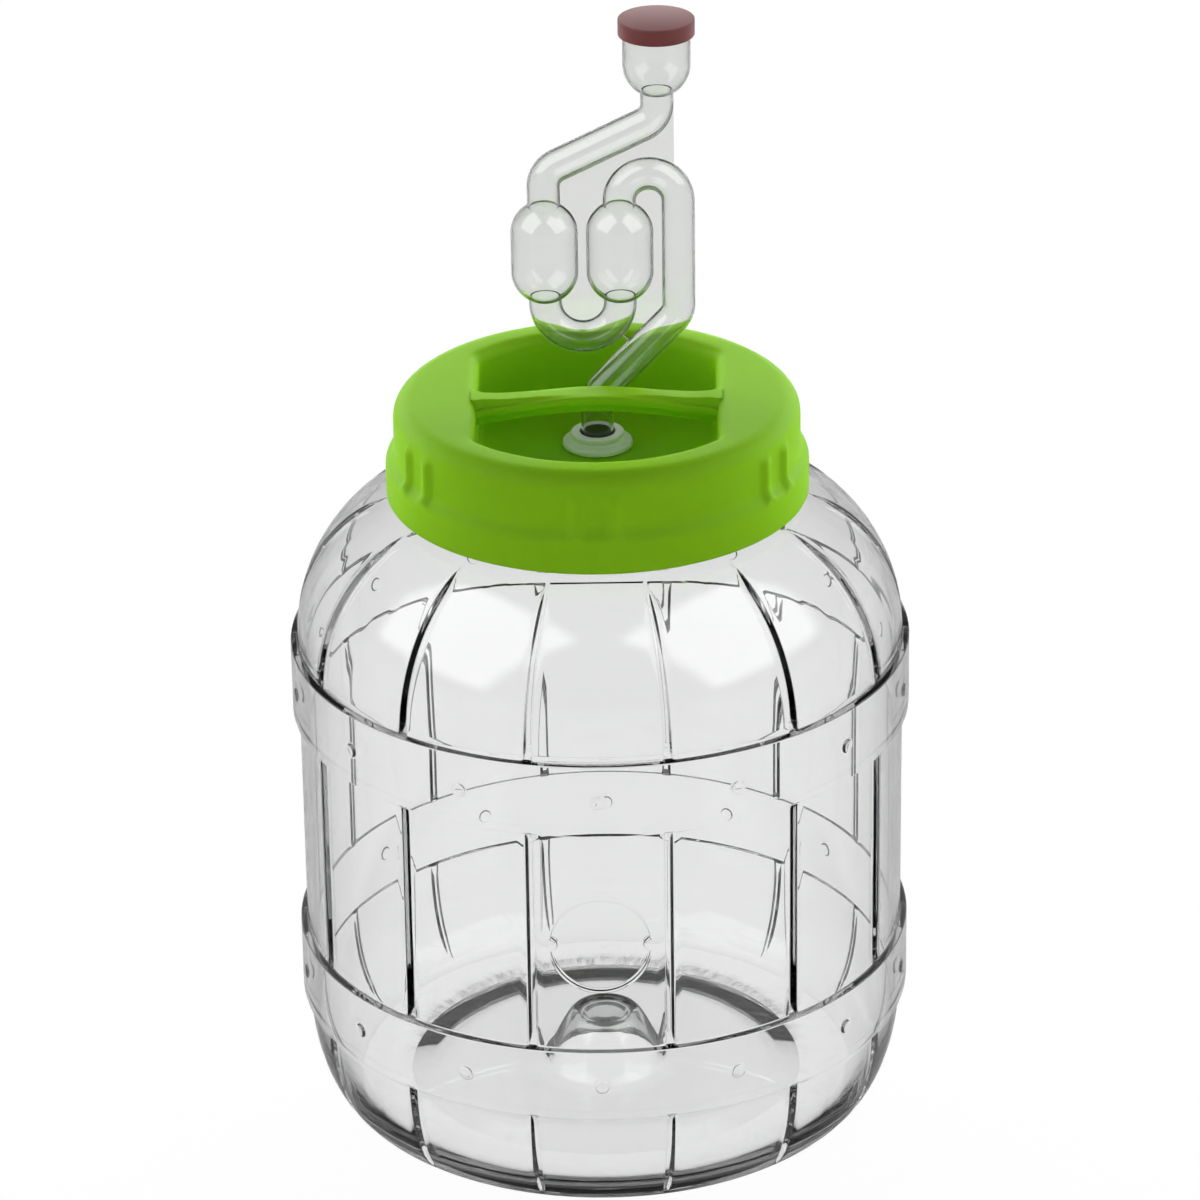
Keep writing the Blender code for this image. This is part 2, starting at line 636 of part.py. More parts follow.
def bulb_mesh(name, centre_x, radius, height):
    """A capsule: a short cylinder with two round ends."""
    mid_z = (bulb_low_z + bulb_high_z) / 2
    straight = height / 2 - radius
    profile = [(radius * math.cos(a), mid_z + straight + radius * math.sin(a))
               for a in [math.radians(d) for d in (90, 68, 45, 22, 0)]]
    profile += [(r, 2 * mid_z - z) for r, z in reversed(profile)]
    profile[0] = (0.0, profile[0][1])
    profile[-1] = (0.0, profile[-1][1])
    return turned(name, profile, BULB_SEGMENTS, (centre_x, 0.0))


def cup_mesh(name, radius, bottom_z, top_z):
    """A round-bottomed cup's outside or inside."""
    centre_z = bottom_z + radius
    profile = [(0.0, top_z), (radius, top_z)]
    profile += [(radius * math.cos(a), centre_z - radius * math.sin(a))
                for a in [math.radians(d) for d in (0, 22, 45, 68)]]
    profile.append((0.0, bottom_z))
    return turned(name, profile, BULB_SEGMENTS + 4, (cup_x, 0.0))


def web_mesh():
    """The flat web between the tubes, its edges hidden on their centre lines."""
    web_right = cup_x + TUBE_RADIUS
    cut_z = bulb_low_z - TRAP_RADIUS / 2
    trap = arc((right_bulb_x - TRAP_RADIUS, bulb_low_z), TRAP_RADIUS, -math.radians(30), -math.pi)
    outline = [(STEM_REACH - (second_bend_z - cut_z) * math.tan(STEM_SLANT), cut_z)]
    outline += trap
    outline += [(left_bulb_x, outlet_bend_z - BEND_RADIUS / 2), (left_bulb_x + BEND_RADIUS / 2, outlet_bend_z)]
    outline += [(cup_x - BEND_RADIUS / 2, cup_bend_z - BEND_RADIUS / 4), (cup_x, cup_bottom_z - TUBE_WALL)]
    outline += [(web_right - TUBE_WALL, cup_bottom_z - TUBE_WALL), (web_right, cup_bottom_z - 2 * TUBE_WALL)]
    outline += [(web_right, bulb_high_z), (STEM_REACH, second_bend_z)]
    return upright(plate_mesh("airlock_web", outline, WEB_THICKNESS))


def make_airlock():
    bore = TUBE_RADIUS - TUBE_WALL
    tube = tube_mesh("airlock", airlock_path(0.0, TUBE_WALL), TUBE_RADIUS)
    airlock = add_object("airlock", tube, jar_parts, stem_axis)
    outer = [bulb_mesh("right_bulb", right_bulb_x, BULB_RADIUS, BULB_HEIGHT),
             bulb_mesh("left_bulb", left_bulb_x, BULB_RADIUS, BULB_HEIGHT),
             cup_mesh("cup", CUP_RADIUS, cup_bottom_z, cup_rim_z),
             web_mesh()]
    inner_radius = BULB_RADIUS - TUBE_WALL
    inner_height = BULB_HEIGHT - 2 * TUBE_WALL
    inner = [tube_mesh("bore", airlock_path(TUBE_WALL, 2 * TUBE_WALL), bore),
             bulb_mesh("right_hollow", right_bulb_x, inner_radius, inner_height),
             bulb_mesh("left_hollow", left_bulb_x, inner_radius, inner_height),
             cup_mesh("cup_hollow", CUP_RADIUS - TUBE_WALL, cup_bottom_z + TUBE_WALL, cup_rim_z + CUP_RADIUS)]
    for mesh in outer:
        boolean(airlock, add_cutter(mesh.name, mesh, stem_axis), "UNION")
    for mesh in inner:
        boolean(airlock, add_cutter(mesh.name, mesh, stem_axis), "DIFFERENCE")
    shade(airlock)
    airlock.data.materials.append(plastic("clear_tube", (0.90, 0.92, 0.91), 0.04, clear=0.95))
    return airlock


def make_cap():
    inner = CUP_RADIUS + SLIDE_GAP
    outer = inner + CAP_WALL
    top = cup_rim_z + REST_GAP + CAP_TOP
    edge = CAP_WALL / 3
    profile = [(0.0, top), (outer - edge, top), (outer, top - edge), (outer, top - CAP_DEPTH),
               (inner, top - CAP_DEPTH), (inner, top - CAP_TOP), (0.0, top - CAP_TOP)]
    mesh = turned("airlock_cap", profile, SMALL_SEGMENTS)
    cap = add_object("airlock_cap", mesh, jar_parts, (cup_x, stem_y, 0.0))
    shade(cap)
    cap.data.materials.append(plastic("maroon_cap", (0.16, 0.026, 0.024), 0.6))
    return cap


def seat(piece, carrier):
    """Lets a piece move with the one that carries it, and leaves it where it is."""
    bpy.context.view_layer.update()
    piece.parent = carrier
    piece.matrix_parent_inverse = carrier.matrix_world.inverted()


jar = make_jar_body()
gasket = make_gasket()
lid = make_lid()
grommet = make_grommet()
airlock = make_airlock()
cap = make_cap()
seat(gasket, jar)
seat(lid, gasket)
seat(grommet, lid)
seat(airlock, grommet)
seat(cap, airlock)
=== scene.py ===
"""Barrel-shaped fermentation jar with a green screw lid, a milky grommet and a bent-tube airlock.

Metres, +Z up, the front faces -Y. The sections follow the jar as it is put together.
"""

import math

import bmesh
import bpy
from mathutils import Matrix, Vector


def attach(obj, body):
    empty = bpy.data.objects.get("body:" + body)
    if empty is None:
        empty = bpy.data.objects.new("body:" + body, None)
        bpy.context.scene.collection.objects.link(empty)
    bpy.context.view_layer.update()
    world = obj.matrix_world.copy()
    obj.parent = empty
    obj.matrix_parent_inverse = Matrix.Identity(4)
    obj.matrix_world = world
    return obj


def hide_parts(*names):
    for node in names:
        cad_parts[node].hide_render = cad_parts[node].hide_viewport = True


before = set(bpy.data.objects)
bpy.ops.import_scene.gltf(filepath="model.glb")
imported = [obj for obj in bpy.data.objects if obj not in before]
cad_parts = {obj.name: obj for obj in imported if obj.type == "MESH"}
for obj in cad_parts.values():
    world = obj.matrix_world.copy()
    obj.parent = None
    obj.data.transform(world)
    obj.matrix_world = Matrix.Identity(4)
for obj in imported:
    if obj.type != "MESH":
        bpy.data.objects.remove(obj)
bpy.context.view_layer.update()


# ---------------------------------------------------------------------------------------------
# Jar: a barrel blown in one piece from clear PET, 2.8 mm thick and smooth inside. Its outside is
# a turned section, into which the grooves between the staves, the buttons on the hoops and the
# bare disc on the front stave are pressed. The base is pushed up in the middle.
stave_count = 14
barrel_radius = 0.0918
hoop_radius = 0.0938
hoop_half = 0.01175
hoop_heights = (0.1421, 0.0473)
hoop_slope = 0.0004
hoop_round = 0.00032
hoop_row = 0.0070
neck_radius = 0.0552
neck_bore = 0.0540
# The neck has a row this far under its rim, and one this far above its root.
neck_rows = (0.014, 0.004)
rim_z = 0.22655
rim_round = 0.0003
shoulder_centre = 0.0491
shoulder_reach = barrel_radius - shoulder_centre
shoulder_rise = 0.0462
shoulder_z = hoop_heights[0] + hoop_half
heel_centre = 0.0768
heel_reach = barrel_radius - heel_centre
heel_height = hoop_heights[1] - hoop_half
inner_radius = 0.0890
inner_rise = 0.0436

foot_width = 0.0160
foot_row = 0.0690
recess_height = 0.0040
recess_rows = (0.0540, 0.0440, 0.0260)
floor_thickness = 0.0064
floor_rows = (0.0570, 0.0440, 0.0280)
# The middle of the base, pushed up: the radius at its foot, the radius at its top, and its height.
push_up_outside = (0.0192, 0.0078, 0.0205)
push_up_inside = (0.0204, 0.0090, 0.0223)
# The edge of the dimple in its top, as distances inwards and down.
dimple_edge = ((0.0006, 0.0004), (0.0014, 0.0014), (0.0024, 0.0016))
dimple_middle = 0.0030
dimple_depth = 0.0016

groove_depth = 0.0025
groove_floor = 0.0008
groove_mouth = 0.0013
groove_half = 0.0034
groove_dish = 0.10
groove_end = 0.0036
groove_top_z = 0.1990
groove_tip_radius = 0.0638
groove_tip_run = 0.0095
groove_tip_width = 0.30
groove_foot_z = 0.0012
groove_foot_run = 0.0090
# At a hoop's ledge the grooves get shallower and wider.
ledge_depth = 0.40
ledge_run = 0.0030
ledge_flare = 0.35
ledge_flare_run = 0.0010

button_half = 0.0032
# Rings of a button, from its edge to its top, as (radius, height above the hoop).
button_rings = ((0.0027, 0.0), (0.0022, 0.00003), (0.00208, 0.00018), (0.00194, 0.0004),
                (0.0016, 0.00052), (0.0010, 0.00055))
disc_z = 0.0935
disc_radius = 0.0150
disc_notch = 0.0021
disc_depth = 0.0012
disc_half = 0.0180
disc_patch = 0.0165
disc_rows = 7
# A pressed form's rings start this far inside one another, before they move to their places.
ring_start = 0.00008
# Rings of the disc's edge, as (distance outside it, share of its depth), and of its plain middle.
disc_edge_rings = ((0.0013, 0.0), (0.0006, 0.0), (0.00025, 0.04), (0.00008, 0.16), (0.0, 0.38),
                   (-0.00004, 0.62), (-0.00012, 0.84), (-0.0003, 0.96), (-0.0006, 1.0))
disc_middle_rings = (0.0118, 0.0092, 0.0064, 0.0034)

# Places across a stave, from the middle of a groove, where the wall has its columns, and places
# under or above a hoop's ledge where it has its rows.
groove_places = (0.0004, 0.00072, 0.00085, 0.00105, 0.00125, 0.00137, 0.0017, 0.0022, 0.0029,
                 0.0038)
stave_places = (0.0051, 0.0064, 0.0080, 0.0100, 0.0122, 0.0146, 0.0174)
ledge_places = (0.0006, 0.0012, 0.0018, 0.0024, 0.0032, 0.0044)

thread_climb = -0.0060
neck_thread = ((0.0549, 0.2199), (0.0565, 0.2191), (0.0565, 0.2183), (0.0549, 0.2175))
neck_thread_turns = 1.33


def draw(work, points):
    """Edges through points (radius, height) of a section, and their vertices."""
    verts = [work.verts.new((r, 0.0, z)) for r, z in points]
    for a, b in zip(verts, verts[1:]):
        work.edges.new((a, b))
    return verts


def round_off(work, corners, setback, segments):
    bmesh.ops.bevel(work, geom=corners, offset=setback, segments=segments, profile=0.5,
                    affect="VERTICES", material=-1)


def quarter(work, centre, reach, rise, start, angle, steps):
    """Part of an ellipse, turned from one vertex round its middle and then stretched upright."""
    middle = Vector((centre[0], 0.0, centre[1]))
    old = set(work.verts)
    begin = Vector((reach * math.cos(start), 0.0, reach * math.sin(start)))
    first = work.verts.new(middle + begin)
    bmesh.ops.spin(work, geom=[first], cent=middle, axis=(0, -1, 0), angle=angle, steps=steps)
    bmesh.ops.scale(work, vec=(1.0, 1.0, rise / reach), space=Matrix.Translation(-middle),
                    verts=[v for v in work.verts if v not in old])


def corner_at(work, radius, height):
    return next(v for v in work.verts
                if abs(v.co.x - radius) < 1e-6 and abs(v.co.z - height) < 1e-6)


def soft(value):
    """0 below 0, 1 above 1, and a soft rise between."""
    share = min(1.0, max(0.0, value))
    return share * share * (3 - 2 * share)


def rise_from(low, share):
    """From a low value up to 1, by a share."""
    return low + (1.0 - low) * share


def push_up(foot_z, sizes, steps=10):
    """The raised middle of the base, from its foot to the dimple in its top."""
    foot, top, top_z = sizes
    points = [(foot + (top - foot) * i / steps, foot_z + (top_z - foot_z) * soft(i / steps))
              for i in range(steps + 1)]
    points += [(top - inwards, top_z - down) for inwards, down in dimple_edge]
    return points + [(dimple_middle, top_z - dimple_depth), (0.0, top_z - dimple_depth)]


# The outside, from the neck down to the middle of the base.
work = bmesh.new()
outside = work.verts.layers.int.new("outside")
top_angle = math.acos((neck_radius - shoulder_centre) / shoulder_reach)
root_z = shoulder_z + shoulder_rise * math.sin(top_angle)
draw(work, [(neck_radius, z) for z in (rim_z, rim_z - neck_rows[0], root_z + neck_rows[1], root_z)])
quarter(work, (shoulder_centre, shoulder_z), shoulder_reach, shoulder_rise, 0.0, top_angle, 32)
for hoop_z in hoop_heights:
    top, foot = hoop_z + hoop_half, hoop_z - hoop_half
    rows = (top - hoop_slope, hoop_z + hoop_row, hoop_z + button_half,
            hoop_z - button_half, hoop_z - hoop_row, foot + hoop_slope)
    draw(work, [(barrel_radius, top)] + [(hoop_radius, z) for z in rows] + [(barrel_radius, foot)])
upper_foot, lower_top = hoop_heights[0] - hoop_half, hoop_heights[1] + hoop_half
levels = [upper_foot] + [upper_foot - place for place in ledge_places]
levels += [disc_z + disc_half * (1 - 2 * i / disc_rows) for i in range(disc_rows + 1)]
levels += [lower_top + place for place in reversed(ledge_places)] + [lower_top]
draw(work, [(barrel_radius, z) for z in levels])
quarter(work, (heel_centre, heel_height), heel_reach, heel_height, -math.pi / 2, math.pi / 2, 18)
foot_inner = heel_centre - foot_width
draw(work, [(r, 0.0) for r in (heel_centre, foot_row, foot_inner)] +
     [(r, recess_height) for r in recess_rows] + push_up(recess_height, push_up_outside))
bmesh.ops.remove_doubles(work, verts=work.verts, dist=1e-6)
ledges = [corner_at(work, *spot) for hoop_z in hoop_heights for side in (-1, 1) for spot in
          ((barrel_radius, hoop_z + side * hoop_half),
           (hoop_radius, hoop_z + side * (hoop_half - hoop_slope)))]
round_off(work, ledges, hoop_round, 2)
for vert in work.verts:
    vert[outside] = 1

# The inside.
old = set(work.verts)
inner_reach = inner_radius - shoulder_centre
inner_angle = math.acos((neck_bore - shoulder_centre) / inner_reach)
inner_root_z = shoulder_z + inner_rise * math.sin(inner_angle)
draw(work, [(neck_bore, rim_z), (neck_bore, inner_root_z)])
quarter(work, (shoulder_centre, shoulder_z), inner_reach, inner_rise, 0.0, inner_angle, 18)
draw(work, [(inner_radius, shoulder_z), (inner_radius, heel_height)])
quarter(work, (heel_centre, heel_height), inner_radius - heel_centre,
        heel_height - floor_thickness, -math.pi / 2, math.pi / 2, 14)
draw(work, [(r, floor_thickness) for r in (heel_centre,) + floor_rows] +
     push_up(floor_thickness, push_up_inside))
bmesh.ops.remove_doubles(work, verts=[v for v in work.verts if v not in old], dist=1e-6)
rim = [corner_at(work, neck_radius, rim_z), corner_at(work, neck_bore, rim_z)]
work.edges.new(rim)
round_off(work, rim, rim_round, 2)

# One stave: the section is turned in equal steps, and its columns then move to their places.
pitch = 2 * math.pi / stave_count
places = [p / barrel_radius for p in (0.0,) + groove_places + stave_places]
places += [pitch - p for p in reversed(places)]
bmesh.ops.spin(work, geom=work.verts[:] + work.edges[:], cent=(0, 0, 0), axis=(0, 0, 1),
               angle=pitch, steps=len(places) - 1)


def groove(radius, height, across):
    """How far a groove sinks the outer wall, and which way that is, as (outwards, up)."""
    out, up, share = 1.0, 0.0, 1.0
    if height > shoulder_z:
        share, gap = soft((radius - groove_tip_radius) / groove_tip_run), height - shoulder_z
        out, up = (radius - shoulder_centre) / shoulder_reach ** 2, gap / shoulder_rise ** 2
    elif height < heel_height:
        share, gap = soft((height - groove_foot_z) / groove_foot_run), heel_height - height
        out, up = (radius - heel_centre) / heel_reach ** 2, -gap / heel_height ** 2
    else:
        gap = min(abs(height - z - end * hoop_half) for z in hoop_heights for end in (-1, 1))
    if across >= groove_end:
        return 0.0, out, up
    width = rise_from(groove_tip_width, math.sqrt(share))
    width *= 1.0 + ledge_flare * math.exp(-gap / ledge_flare_run)
    flank = (groove_mouth * width - across) / ((groove_mouth - groove_floor) * width)
    level = (1.0 - groove_dish) * min(1.0, max(0.0, flank))
    level += groove_dish * (1.0 - soft(across / (groove_half * width)))
    sink = groove_depth * share * rise_from(ledge_depth, soft(gap / ledge_run)) * level
    sink *= 1.0 - soft((radius - barrel_radius) / (hoop_radius - barrel_radius) * 1.2)
    size = math.hypot(out, up)
    return sink, out / size, up / size


first_groove = -math.pi / 2 - pitch / 2
outside = work.verts.layers.int["outside"]
for vert in work.verts:
    radius, height = math.hypot(vert.co.x, vert.co.y), vert.co.z
    place = 0.0
    if radius > 1e-6:
        place = places[round(math.atan2(vert.co.y, vert.co.x) / pitch * (len(places) - 1))]
    on_base = radius < heel_centre and height < shoulder_z
    if vert[outside] and height < groove_top_z and not on_base:
        sink, out, up = groove(radius, height, min(place, pitch - place) * barrel_radius)
        radius -= sink * out
        height -= sink * up
    angle = first_groove + place
    vert.co = (radius * math.cos(angle), radius * math.sin(angle), height)


def press(work, faces, middle_z, radius, rings):
    """Draws rings inside faces at the middle of the front stave.

    Each ring says how far out it lies and how proud it stands in a direction.
    """
    for ring in rings:
        bmesh.ops.inset_individual(work, faces=faces, thickness=ring_start, use_even_offset=True)
        for face, z in zip(faces, middle_z):
            for loop in face.loops:
                across = math.atan2(loop.vert.co.x, -loop.vert.co.y) * radius
                heading = math.atan2(loop.vert.co.z - z, across)
                reach, proud = ring(heading)
                turn = reach * math.cos(heading) / radius
                loop.vert.co = ((radius + proud) * math.sin(turn),
                                -(radius + proud) * math.cos(turn),
                                z + reach * math.sin(heading))


def on_wall(verts, radius):
    """Puts vertices exactly on a round wall."""
    for vert in verts:
        share = radius / math.hypot(vert.co.x, vert.co.y)
        vert.co = (vert.co.x * share, vert.co.y * share, vert.co.z)


# A button stands at the middle of each stave on both hoops.
button_faces = []
for hoop_z in hoop_heights:
    middle = Vector((0.0, -hoop_radius, hoop_z))
    button_faces.append(min(work.faces, key=lambda f: (f.calc_center_median() - middle).length))
button_edges = [e for face in button_faces for e in face.edges]
bmesh.ops.bisect_edges(work, edges=button_edges, cuts=5)
on_wall({vert for face in button_faces for vert in face.verts}, hoop_radius)
press(work, button_faces, hoop_heights, hoop_radius,
      [lambda heading, ring=ring: ring for ring in button_rings])
bmesh.ops.spin(work, geom=work.verts[:] + work.edges[:] + work.faces[:], cent=(0, 0, 0),
               axis=(0, 0, 1), angle=pitch * (stave_count - 1), steps=stave_count - 1,
               use_duplicate=True)
bmesh.ops.remove_doubles(work, verts=work.verts, dist=1e-5)


def disc_edge(heading, out):
    """The disc's edge, which bends in round a small half circle on the left and the right."""
    beside = abs(disc_radius * math.sin(heading))
    bite = disc_notch - out
    if beside < bite:
        return disc_radius * abs(math.cos(heading)) - math.sqrt(bite * bite - beside * beside)
    return disc_radius + out


def in_patch(face):
    """Whether a face of the outer wall lies where the disc goes."""
    x, y, z = face.calc_center_median()
    on_front = y < 0 and math.hypot(x, y) > barrel_radius - 0.001
    return on_front and abs(x) < disc_patch and abs(z - disc_z) < disc_half


patch = [face for face in work.faces if in_patch(face)]
disc_face = bmesh.ops.dissolve_faces(work, faces=patch, use_verts=False)["region"][0]
bmesh.ops.bisect_edges(work, edges=disc_face.edges[:], cuts=7)
on_wall(disc_face.verts, barrel_radius)
rings = [lambda heading, out=out, sunk=sunk: (disc_edge(heading, out), -sunk * disc_depth)
         for out, sunk in disc_edge_rings]
rings += [lambda heading, reach=reach: (reach, -disc_depth) for reach in disc_middle_rings]
press(work, [disc_face], [disc_z], barrel_radius, rings)
bmesh.ops.poke(work, faces=[disc_face])


def add_thread(work, section, turns):
    """A ridge that runs round a wall and climbs with each turn."""
    ridge = bmesh.new()
    face = ridge.faces.new([ridge.verts.new((r, 0.0, z)) for r, z in section])
    steps = round(90 * turns)
    bmesh.ops.spin(ridge, geom=[face], cent=(0, 0, 0), axis=(0, 0, 1),
                   dvec=(0, 0, thread_climb * turns / steps), angle=2 * math.pi * turns,
                   steps=steps)
    mesh = bpy.data.meshes.new("thread")
    ridge.to_mesh(mesh)
    ridge.free()
    work.from_mesh(mesh)
    bpy.data.meshes.remove(mesh)
    bmesh.ops.recalc_face_normals(work, faces=work.faces)


def make_piece(work, name):
    """An object at the origin, from finished work."""
    mesh = bpy.data.meshes.new(name)
    work.to_mesh(mesh)
    work.free()
    piece = bpy.data.objects.new(name, mesh)
    bpy.context.scene.collection.objects.link(piece)
    return piece


def shade(piece, sharp):
    """Smooth faces, with the edges sharp that turn by more than an angle in degrees."""
    piece.data.shade_smooth()
    piece.data.set_sharp_from_angle(angle=math.radians(sharp))


add_thread(work, neck_thread, neck_thread_turns)
jar = make_piece(work, "barrel")
shade(jar, 50)

# The plain walls are truly round, so that what is seen through them isn't bent at the facets.
round_walls = ((barrel_radius, heel_height, shoulder_z, 1),
               (hoop_radius, heel_height, shoulder_z, 1),
               (inner_radius, heel_height, shoulder_z, -1),
               (barrel_radius - disc_depth, disc_z - disc_radius, disc_z + disc_radius, 1))
wall_normals = []
for vert in jar.data.vertices:
    radius, normal = math.hypot(vert.co.x, vert.co.y), (0.0, 0.0, 0.0)
    for wall, foot, top, side in round_walls:
        if abs(radius - wall) < 1e-6 and foot - 1e-6 < vert.co.z < top + 1e-6:
            normal = (side * vert.co.x / radius, side * vert.co.y / radius, 0.0)
    wall_normals.append(normal)
jar.data.normals_split_custom_set_from_vertices(wall_normals)


class Value:
    """A shader value. Sums and products with it add the Math nodes that they need."""

    def __init__(self, nodes, socket):
        self.nodes, self.socket = nodes, socket

    def maths(self, operation, first, second=0.0):
        return self.nodes.node("ShaderNodeMath", {"operation": operation},
                               {0: first, 1: second})[0]

    def at_most(self, other):
        return self.maths("MINIMUM", self, other)

    def __abs__(self):
        return self.maths("ABSOLUTE", self)

    def __add__(self, other):
        return self.maths("ADD", self, other)

    def __mul__(self, other):
        return self.maths("MULTIPLY", self, other)

    def __sub__(self, other):
        return self.maths("SUBTRACT", self, other)

    def __rsub__(self, other):
        return self.maths("SUBTRACT", other, self)

    __radd__ = __add__
    __rmul__ = __mul__


class Outputs:
    """The outputs of a node, by name or number."""

    def __init__(self, nodes, made):
        self.nodes, self.made = nodes, made

    def __getitem__(self, name):
        return Value(self.nodes, self.made.outputs[name])


class Nodes:
    """The shader nodes of a material, a lamp or the world."""

    def __init__(self, tree):
        self.tree = tree

    def node(self, kind, settings=None, inputs=None):
        """Adds a node, sets it, feeds it, and gives its outputs."""
        made = self.tree.nodes.new(kind)
        for name, value in (settings or {}).items():
            setattr(made, name, value)
        for name, value in (inputs or {}).items():
            if isinstance(value, Value):
                self.tree.links.new(value.socket, made.inputs[name])
            else:
                made.inputs[name].default_value = value
        return Outputs(self, made)

    def mix(self, share, first, second):
        """A colour between two."""
        return self.node("ShaderNodeMix", {"data_type": "RGBA"},
                         {0: share, 6: first, 7: second})[2]

    def fade(self, value, start, end, first, last):
        """Goes softly from first to last while a value goes from start to end."""
        return self.node("ShaderNodeMapRange", {"interpolation_type": "SMOOTHSTEP"},
                         {"Value": value, "From Min": start, "From Max": end,
                          "To Min": first, "To Max": last})["Result"]


class Finish(Nodes):
    """One material, its Principled shader and the nodes that feed it."""

    def __init__(self, name, **constants):
        self.material = bpy.data.materials.new(name)
        self.material.use_nodes = True
        super().__init__(self.material.node_tree)
        self.shader = self.tree.nodes["Principled BSDF"]
        for socket, value in constants.items():
            self.shader.inputs[socket.replace("_", " ")].default_value = value
        self.place = self.node("ShaderNodeTexCoord")["Object"]

    def noise(self, scale, detail):
        return self.node("ShaderNodeTexNoise", inputs={"Vector": self.place, "Scale": scale,
                                                       "Detail": detail})["Fac"]

    def feed(self, socket, value):
        self.tree.links.new(value.socket, self.shader.inputs[socket])

    def bump(self, height, strength, distance):
        self.feed("Normal", self.node("ShaderNodeBump", inputs={
            "Strength": strength, "Distance": distance, "Height": height})[0])

    def blend_in(self, share, other):
        """Mixes another shader into the surface."""
        mixed = self.node("ShaderNodeMixShader", inputs={
            0: share, 1: Value(self, self.shader.outputs[0]), 2: other})
        surface = self.tree.nodes["Material Output"].inputs["Surface"]
        self.tree.links.new(mixed[0].socket, surface)


def clear_plastic(name, tint, dimmed, ripple_scale, ripple_strength, ripple_distance):
    """Clear plastic with a faint ripple. Lamps light what is behind it, dimmed."""
    clear = Finish(name, Base_Color=tint, Roughness=0.0, IOR=1.5, Transmission_Weight=1.0)
    clear.bump(clear.noise(ripple_scale, 1.0), ripple_strength, ripple_distance)
    open_way = clear.node("ShaderNodeBsdfTransparent",
                          inputs={"Color": (dimmed, dimmed, dimmed, 1.0)})
    clear.blend_in(clear.node("ShaderNodeLightPath")["Is Shadow Ray"], open_way[0])
    return clear.material


jar.data.materials.append(
    clear_plastic("clear_pet", (0.925, 0.928, 0.927, 1.0), 0.93, 22.0, 0.006, 0.002))
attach(jar, "jar")
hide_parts("jar_body")


# ---------------------------------------------------------------------------------------------
# Seal: a flat ring of off-white rubber that sits in the lid and closes on the rim of the neck.
seal_bore = 0.0512
seal_radius = 0.0552
seal_foot = 0.22685
seal_top = 0.22835


def turned_piece(name, section, setback, segments, steps, middle=(0.0, 0.0)):
    """A ring or a cap turned from a section whose corners are rounded."""
    work = bmesh.new()
    corners = draw(work, section)
    is_ring = section[0][0] > 1e-6
    if is_ring:
        work.edges.new((corners[-1], corners[0]))
    round_off(work, corners if is_ring else corners[1:-1], setback, segments)
    bmesh.ops.spin(work, geom=work.verts[:] + work.edges[:], cent=(0, 0, 0), axis=(0, 0, 1),
                   angle=2 * math.pi, steps=steps, use_merge=True)
    bmesh.ops.remove_doubles(work, verts=work.verts, dist=1e-6)
    bmesh.ops.recalc_face_normals(work, faces=work.faces)
    bmesh.ops.translate(work, vec=(middle[0], middle[1], 0.0), verts=work.verts)
    piece = make_piece(work, name)
    shade(piece, 50)
    return piece


seal = turned_piece("sealing_ring", [(seal_bore, seal_foot), (seal_radius, seal_foot),
                                     (seal_radius, seal_top), (seal_bore, seal_top)],
                    0.0004, 3, 180)
white_seal = Finish("off_white_rubber", Base_Color=(0.80, 0.80, 0.77, 1.0), Roughness=0.55)
white_seal.bump(white_seal.noise(900.0, 2.0), 0.2, 0.0003)
seal.data.materials.append(white_seal.material)
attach(seal, "seal")
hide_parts("lid_gasket")


# ---------------------------------------------------------------------------------------------
# Lid: injection-moulded in satin green polypropylene. Its middle is sunk, with two straight
# walls, and a T-shaped handle bridges it. Six pairs of ribs on the skirt give grip.
lid_top = 0.23085
floor_z = 0.20885
sump_radius = 0.0473
sump_half = 0.0359
sump_corner = 0.0050
sump_wall = 0.0018
sump_border = 0.0020
corner_x = sump_half - sump_corner
corner_y = math.sqrt((sump_radius - sump_corner) ** 2 - corner_x ** 2)
skirt_radius = 0.0608
skirt_foot = 0.20085
skirt_wall = 0.0022
band_radius = 0.0634
band_top = 0.21405
stem_y = 0.01245
hole_radius = 0.0067
# Round the stem's hole the floor's columns draw in from this radius towards the hole's middle.
apron = 0.0205

rib_spacing = 0.0110
rib_half = 0.0034
rib_proud = 0.0013
rib_top = 0.2258
rib_runout = 0.0026
rib_places = (-0.0032, -0.0027, -0.0022, -0.0016, -0.0008, 0.0,
              0.0008, 0.0016, 0.0022, 0.0027, 0.0032)
corner_degrees = (38.2, 38.8, 39.4, 40.0, 40.6, 41.2, 41.8, 42.4, 43.0, 43.6)
plain_step = math.radians(1.6)

lid_thread = ((0.0588, 0.2234), (0.0572, 0.2226), (0.0572, 0.2218), (0.0588, 0.2210))
lid_thread_turns = 1.1

# The section, from the hole in the floor up, over the top, down the skirt, and back underneath.
sump_back = sump_radius + sump_wall
floor_back = floor_z - sump_wall
skirt_back = skirt_radius - skirt_wall
band_back = band_radius - skirt_wall
top_back = lid_top - skirt_wall
lid_section = (
    (hole_radius, floor_z), (0.0110, floor_z), (apron, floor_z), (0.036, floor_z),
    (sump_radius, floor_z), (sump_radius, floor_z + 0.008), (sump_radius, lid_top - 0.006),
    (sump_radius, lid_top), (skirt_radius, lid_top), (skirt_radius, 0.2200),
    (skirt_radius, band_top), (band_radius, band_top - 0.0026), (band_radius, 0.2060),
    (band_radius, skirt_foot), (band_back, skirt_foot), (band_back, band_top - 0.0040),
    (skirt_back, band_top - 0.0014), (skirt_back, top_back), (sump_back, top_back),
    (sump_back, floor_back), (0.036, floor_back), (apron, floor_back), (hole_radius, floor_back))
